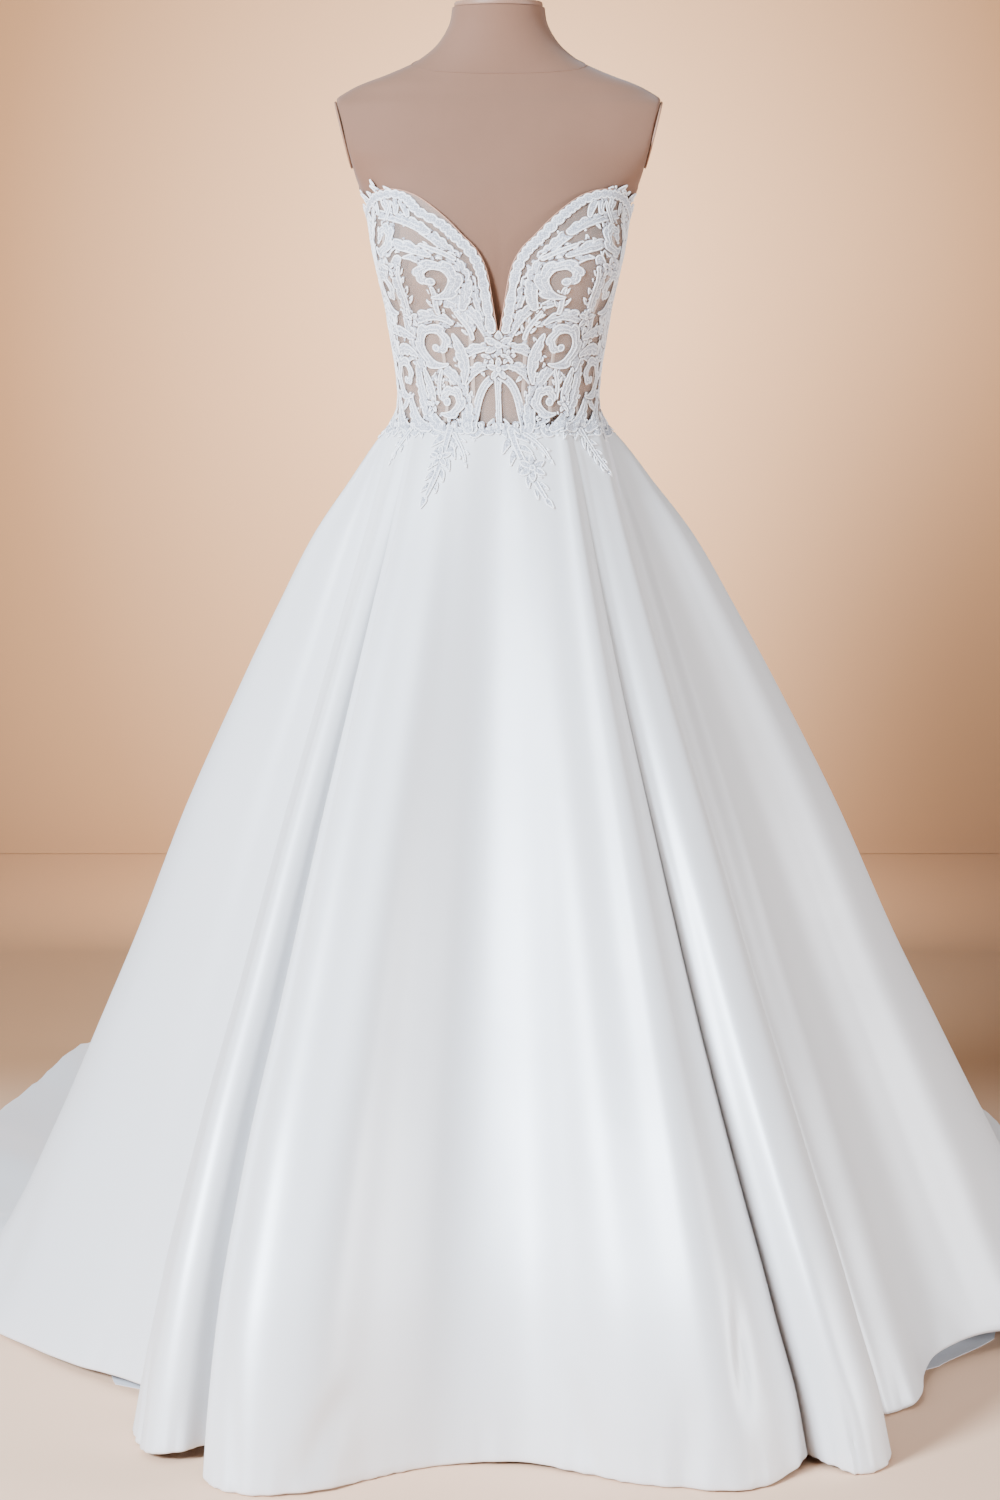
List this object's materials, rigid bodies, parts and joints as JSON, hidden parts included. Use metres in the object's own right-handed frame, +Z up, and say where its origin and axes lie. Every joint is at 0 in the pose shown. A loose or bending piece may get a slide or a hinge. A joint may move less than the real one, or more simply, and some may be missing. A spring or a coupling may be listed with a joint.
{
  "type": "wedding dress on a dress form",
  "caption": "Strapless ball gown with a corded lace bodice over sheer net, a pleated satin skirt and a long train, worn by a limbless padded dress form on a round stand.",
  "frame": {"origin": "on the floor, at the middle of the underside of the stand's base", "axes": "-Y is the front of the dress, +Y runs along the train, +X is the wearer's left, +Z is up"},
  "size_m": [1.5571, 2.409, 1.566],
  "materials": {
    "satin": "heavy satin, soft sheen",
    "lining": "matt taffeta",
    "net": "sheer skin-tone net",
    "lace": "corded lace, matt with silky cords",
    "form_jersey": "matt jersey",
    "form_plate": "smooth painted board",
    "stand_steel": "powder coat",
    "zip_enamel": "white enamel"
  },
  "bodies": {
    "dress": {"bodice_front_left": "net", "bodice_front_right": "net", "bodice_side_left": "net", "bodice_side_right": "net", "bodice_back_left": "net", "bodice_back_right": "net", "lace_front": "lace", "lace_back_left": "lace", "lace_back_right": "lace", "skirt_front": "satin", "skirt_side_left": "satin", "skirt_side_right": "satin", "skirt_back_left": "satin", "skirt_back_right": "satin", "lining_front": "lining", "lining_side_left": "lining", "lining_side_right": "lining", "lining_back_left": "lining", "lining_back_right": "lining", "zip_slider": "zip_enamel", "form_torso": "form_jersey", "form_neck_cap": "form_plate", "form_arm_plate_left": "form_plate", "form_arm_plate_right": "form_plate", "stand_flange": "stand_steel", "stand_pole": "stand_steel", "stand_base": "stand_steel"},
    "pull": {"zip_pull": "zip_enamel"}
  },
  "joints": [
    {"name": "zip_pull_hinge", "type": "hinge", "parent": "dress", "child": "pull", "pos_m": [0, 0.09676, 1.2262], "axis": [1, 0, 0], "range_deg": [0, 150]}
  ]
}
